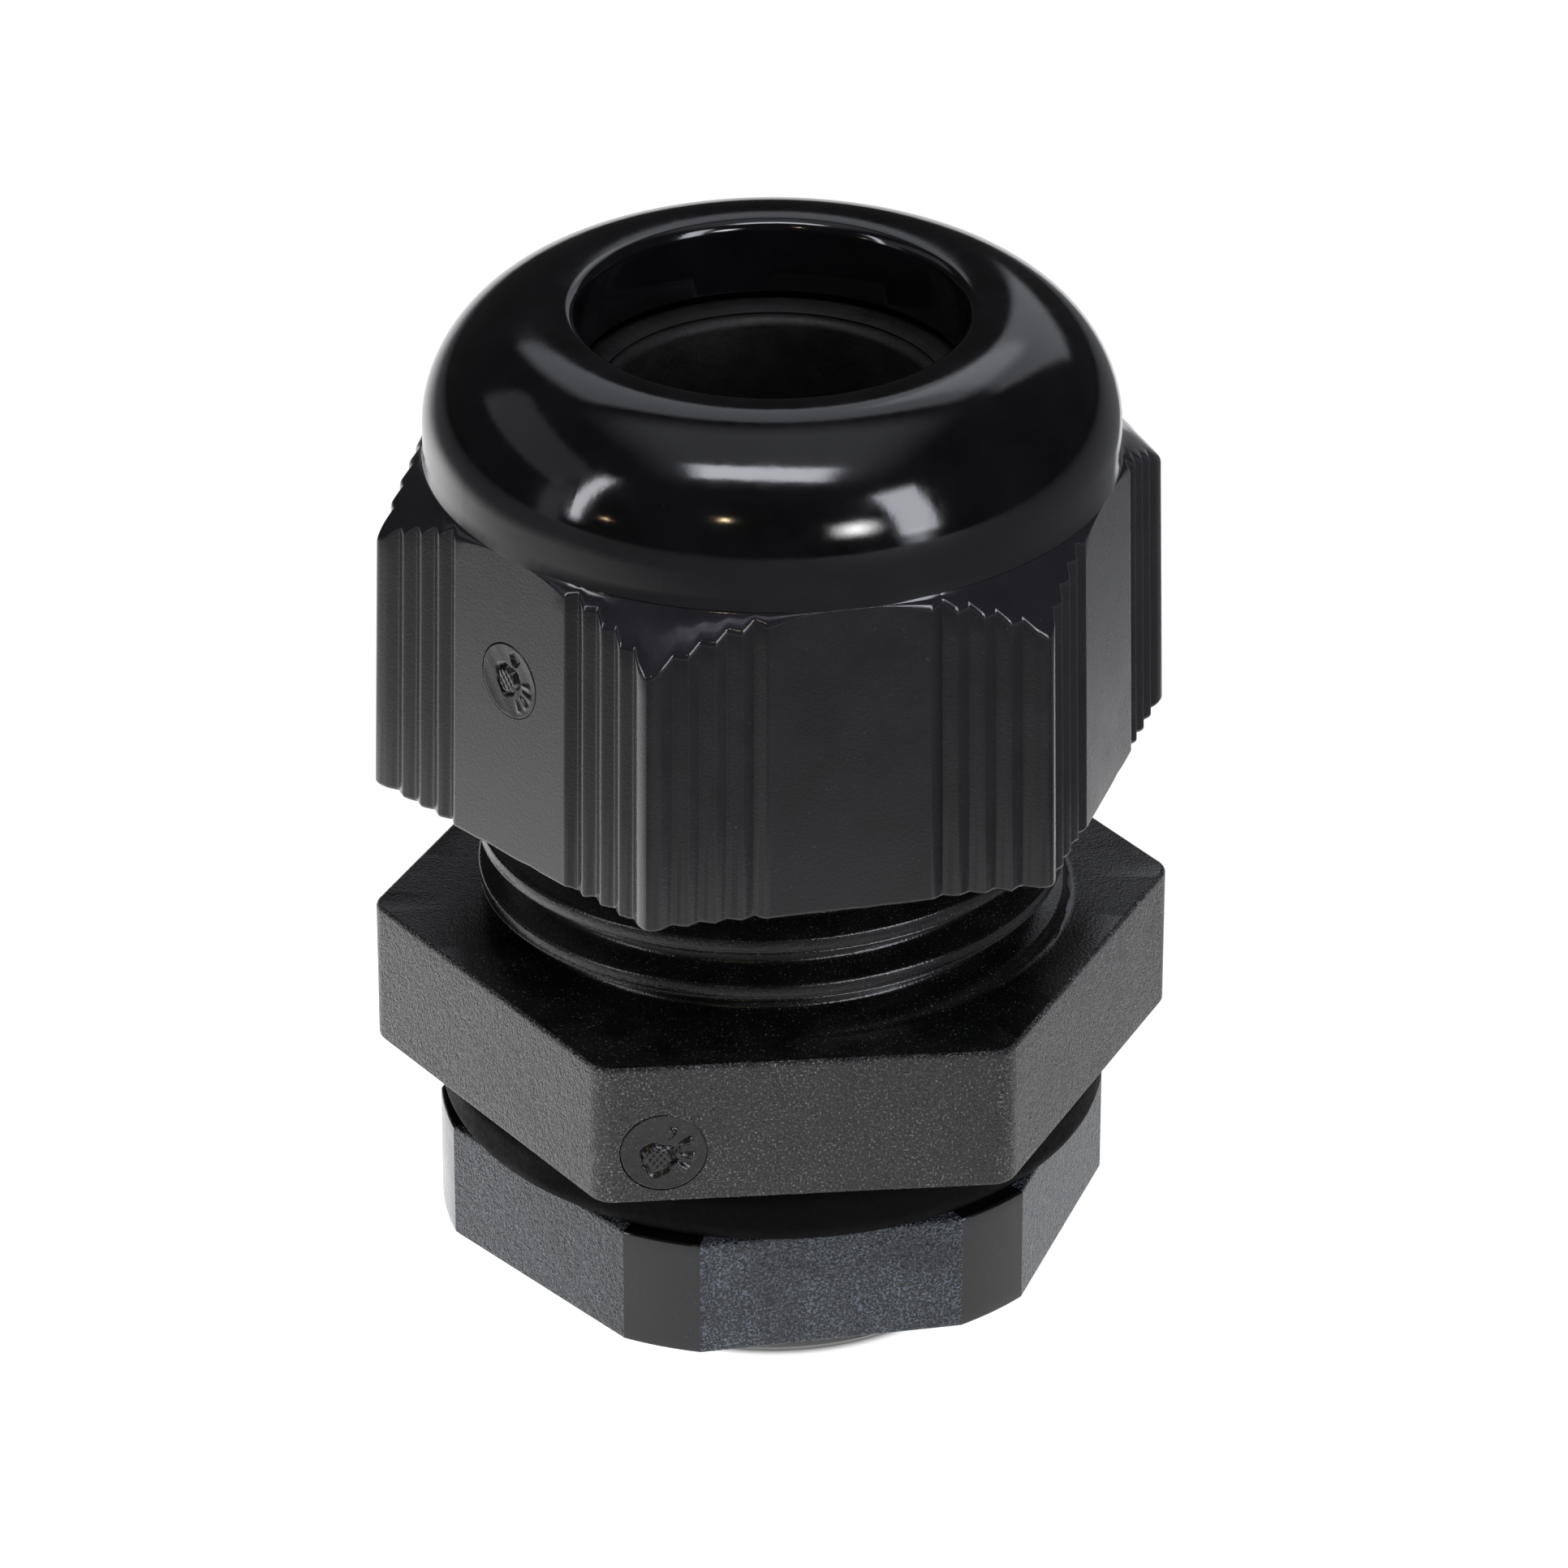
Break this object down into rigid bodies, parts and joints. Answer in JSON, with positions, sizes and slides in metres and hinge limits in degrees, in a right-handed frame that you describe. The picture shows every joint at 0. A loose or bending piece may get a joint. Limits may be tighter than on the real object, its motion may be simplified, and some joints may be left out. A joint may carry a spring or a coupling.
{
  "type": "cable gland",
  "caption": "Hexagonal cable gland with a domed cap nut, a rubber seal squeezed by a ring of fingers, a panel gasket and a lock nut on a fine thread.",
  "frame": {"origin": "on the cable's axis, at the free end of the fine entry thread", "axes": "+Z along the cable's axis, from the entry thread towards the domed cap nut; -Y is the outward normal of one of the body's wrench flats"},
  "size_m": [0.031, 0.0288, 0.0413],
  "materials": {
    "body_polyamide": "fine matte moulded polyamide",
    "cap_polyamide": "glossy dome over satin ribbed sides",
    "seal_rubber": "smooth black rubber",
    "finger_polyamide": "satin moulded polyamide",
    "gasket_rubber": "dull black rubber",
    "nut_polyamide": "matte moulded polyamide with a fine sparkle"
  },
  "bodies": {
    "lock_nut": {"lock_nut": "nut_polyamide"},
    "flange_gasket": {"flange_gasket": "gasket_rubber"},
    "gland_body": {"gland_body": "body_polyamide"},
    "seal_insert": {"seal_insert": "seal_rubber"},
    "dome_cap_nut": {"dome_cap_nut": "cap_polyamide"},
    "clamp_finger_01": {"clamp_finger_01": "finger_polyamide"},
    "clamp_finger_02": {"clamp_finger_02": "finger_polyamide"},
    "clamp_finger_03": {"clamp_finger_03": "finger_polyamide"},
    "clamp_finger_04": {"clamp_finger_04": "finger_polyamide"},
    "clamp_finger_05": {"clamp_finger_05": "finger_polyamide"},
    "clamp_finger_06": {"clamp_finger_06": "finger_polyamide"},
    "clamp_finger_07": {"clamp_finger_07": "finger_polyamide"},
    "clamp_finger_08": {"clamp_finger_08": "finger_polyamide"},
    "clamp_finger_09": {"clamp_finger_09": "finger_polyamide"},
    "clamp_finger_10": {"clamp_finger_10": "finger_polyamide"},
    "clamp_finger_11": {"clamp_finger_11": "finger_polyamide"},
    "clamp_finger_12": {"clamp_finger_12": "finger_polyamide"}
  },
  "joints": [
    {"name": "gasket_lift", "type": "slide", "parent": "lock_nut", "child": "flange_gasket", "axis": [0, 0, 1], "range_m": [0, 0.006]},
    {"name": "gland_turn", "type": "hinge", "parent": "flange_gasket", "child": "gland_body", "pos_m": [0, 0, 0], "axis": [0, 0, 1], "range_deg": [0, 1440]},
    {"name": "seal_lift", "type": "slide", "parent": "gland_body", "child": "seal_insert", "axis": [0, 0, 1], "range_m": [-0.004, 0.002]},
    {"name": "cap_turn", "type": "hinge", "parent": "seal_insert", "child": "dome_cap_nut", "pos_m": [0, 0, 0], "axis": [0, 0, 1], "range_deg": [-720, 360], "deforming": ["seal_insert"]},
    {"name": "finger_01_flex", "type": "hinge", "parent": "gland_body", "child": "clamp_finger_01", "pos_m": [0.0093, 0, 0.0273], "axis": [0, -1, 0], "range_deg": [-5, 10]},
    {"name": "finger_02_flex", "type": "hinge", "parent": "gland_body", "child": "clamp_finger_02", "pos_m": [0.00805, 0.00465, 0.0273], "axis": [0.5, -0.866, 0], "range_deg": [-5, 10]},
    {"name": "finger_03_flex", "type": "hinge", "parent": "gland_body", "child": "clamp_finger_03", "pos_m": [0.00465, 0.00805, 0.0273], "axis": [0.866, -0.5, 0], "range_deg": [-5, 10]},
    {"name": "finger_04_flex", "type": "hinge", "parent": "gland_body", "child": "clamp_finger_04", "pos_m": [0, 0.0093, 0.0273], "axis": [1, 0, 0], "range_deg": [-5, 10]},
    {"name": "finger_05_flex", "type": "hinge", "parent": "gland_body", "child": "clamp_finger_05", "pos_m": [-0.00465, 0.00805, 0.0273], "axis": [0.866, 0.5, 0], "range_deg": [-5, 10]},
    {"name": "finger_06_flex", "type": "hinge", "parent": "gland_body", "child": "clamp_finger_06", "pos_m": [-0.00805, 0.00465, 0.0273], "axis": [0.5, 0.866, 0], "range_deg": [-5, 10]},
    {"name": "finger_07_flex", "type": "hinge", "parent": "gland_body", "child": "clamp_finger_07", "pos_m": [-0.0093, 0, 0.0273], "axis": [0, 1, 0], "range_deg": [-5, 10]},
    {"name": "finger_08_flex", "type": "hinge", "parent": "gland_body", "child": "clamp_finger_08", "pos_m": [-0.00805, -0.00465, 0.0273], "axis": [-0.5, 0.866, 0], "range_deg": [-5, 10]},
    {"name": "finger_09_flex", "type": "hinge", "parent": "gland_body", "child": "clamp_finger_09", "pos_m": [-0.00465, -0.00805, 0.0273], "axis": [-0.866, 0.5, 0], "range_deg": [-5, 10]},
    {"name": "finger_10_flex", "type": "hinge", "parent": "gland_body", "child": "clamp_finger_10", "pos_m": [0, -0.0093, 0.0273], "axis": [-1, 0, 0], "range_deg": [-5, 10]},
    {"name": "finger_11_flex", "type": "hinge", "parent": "gland_body", "child": "clamp_finger_11", "pos_m": [0.00465, -0.00805, 0.0273], "axis": [-0.866, -0.5, 0], "range_deg": [-5, 10]},
    {"name": "finger_12_flex", "type": "hinge", "parent": "gland_body", "child": "clamp_finger_12", "pos_m": [0.00805, -0.00465, 0.0273], "axis": [-0.5, -0.866, 0], "range_deg": [-5, 10]}
  ],
  "couplings": [
    {"joint": "gasket_lift", "follows": "gland_turn", "m_per_rad": 0.00023873},
    {"joint": "seal_lift", "follows": "cap_turn", "m_per_rad": 0.00031831},
    {"joint": "finger_01_flex", "follows": "cap_turn", "ratio": -0.013889},
    {"joint": "finger_02_flex", "follows": "cap_turn", "ratio": -0.013889},
    {"joint": "finger_03_flex", "follows": "cap_turn", "ratio": -0.013889},
    {"joint": "finger_04_flex", "follows": "cap_turn", "ratio": -0.013889},
    {"joint": "finger_05_flex", "follows": "cap_turn", "ratio": -0.013889},
    {"joint": "finger_06_flex", "follows": "cap_turn", "ratio": -0.013889},
    {"joint": "finger_07_flex", "follows": "cap_turn", "ratio": -0.013889},
    {"joint": "finger_08_flex", "follows": "cap_turn", "ratio": -0.013889},
    {"joint": "finger_09_flex", "follows": "cap_turn", "ratio": -0.013889},
    {"joint": "finger_10_flex", "follows": "cap_turn", "ratio": -0.013889},
    {"joint": "finger_11_flex", "follows": "cap_turn", "ratio": -0.013889},
    {"joint": "finger_12_flex", "follows": "cap_turn", "ratio": -0.013889}
  ]
}
